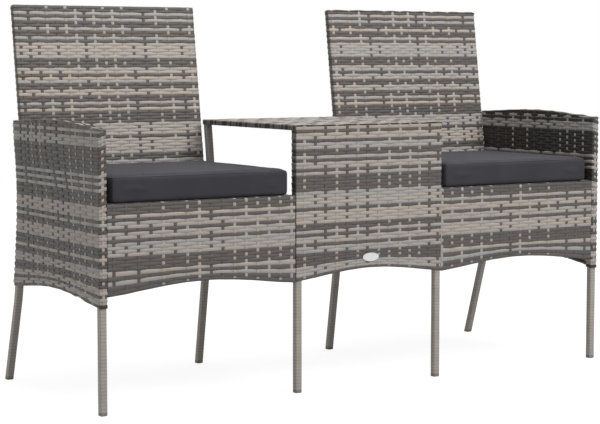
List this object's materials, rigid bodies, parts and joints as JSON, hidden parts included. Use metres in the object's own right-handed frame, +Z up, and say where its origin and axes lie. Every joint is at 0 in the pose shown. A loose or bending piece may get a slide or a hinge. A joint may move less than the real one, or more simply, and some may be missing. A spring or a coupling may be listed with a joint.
{
  "type": "rattan garden sofa with table",
  "caption": "Garden sofa for two: two woven armchairs joined by a woven tea table between them, with loose box cushions on steel tube frames",
  "frame": {"origin": "middle of the footprint, on the floor", "axes": "+X along the front from the left armchair to the right one as seen by someone who faces the sofa, -Y is the front, +Z is up"},
  "size_m": [1.3192, 0.4992, 0.84],
  "materials": {
    "weave": "matt, light and dark grey flat resin strip",
    "wrapped_tube": "matt, tube wrapped in taupe resin strip",
    "frame_steel": "satin powder coat",
    "foot_plastic": "matt moulded plastic",
    "cushion_fabric": "matt woven polyester",
    "bolt": "zinc plated",
    "tag": "satin, blank"
  },
  "bodies": {
    "sofa_frame": {"left_arm_front_leg": "wrapped_tube", "left_arm_rear_post": "wrapped_tube", "left_arm_rail": "frame_steel", "left_arm_seat_rail": "frame_steel", "left_arm_skirt_rod": "frame_steel", "left_arm_weave": "weave", "left_front_foot_cap": "foot_plastic", "left_rear_foot_cap": "foot_plastic", "left_back_hoop": "frame_steel", "left_back_bottom_rail": "frame_steel", "left_back_weave": "weave", "left_seat_frame": "frame_steel", "left_seat_deck": "weave", "left_apron_weave": "weave", "left_apron_rod": "frame_steel", "left_front_arm_bolt": "bolt", "left_rear_arm_bolt": "bolt", "left_front_table_bolt": "bolt", "left_rear_table_bolt": "bolt", "left_inner_back_bolt": "bolt", "left_outer_back_bolt": "bolt", "right_arm_front_leg": "wrapped_tube", "right_arm_rear_post": "wrapped_tube", "right_arm_rail": "frame_steel", "right_arm_seat_rail": "frame_steel", "right_arm_skirt_rod": "frame_steel", "right_arm_weave": "weave", "right_front_foot_cap": "foot_plastic", "right_rear_foot_cap": "foot_plastic", "right_back_hoop": "frame_steel", "right_back_bottom_rail": "frame_steel", "right_back_weave": "weave", "right_seat_frame": "frame_steel", "right_seat_deck": "weave", "right_apron_weave": "weave", "right_apron_rod": "frame_steel", "right_front_arm_bolt": "bolt", "right_rear_arm_bolt": "bolt", "right_front_table_bolt": "bolt", "right_rear_table_bolt": "bolt", "right_inner_back_bolt": "bolt", "right_outer_back_bolt": "bolt", "table_left_front_leg": "wrapped_tube", "table_left_rear_leg": "wrapped_tube", "table_left_front_foot_cap": "foot_plastic", "table_left_rear_foot_cap": "foot_plastic", "table_right_front_leg": "wrapped_tube", "table_right_rear_leg": "wrapped_tube", "table_right_front_foot_cap": "foot_plastic", "table_right_rear_foot_cap": "foot_plastic", "table_top_frame": "frame_steel", "table_top_weave": "weave", "table_front_weave": "weave", "table_front_rod": "frame_steel", "blank_tag": "tag"},
    "left_cushion_body": {"left_cushion": "cushion_fabric"},
    "right_cushion_body": {"right_cushion": "cushion_fabric"}
  },
  "joints": [
    {"name": "left_cushion_lift", "type": "slide", "parent": "sofa_frame", "child": "left_cushion_body", "axis": [0, 0, 1], "range_m": [0, 0.45]},
    {"name": "right_cushion_lift", "type": "slide", "parent": "sofa_frame", "child": "right_cushion_body", "axis": [0, 0, 1], "range_m": [0, 0.45]}
  ]
}
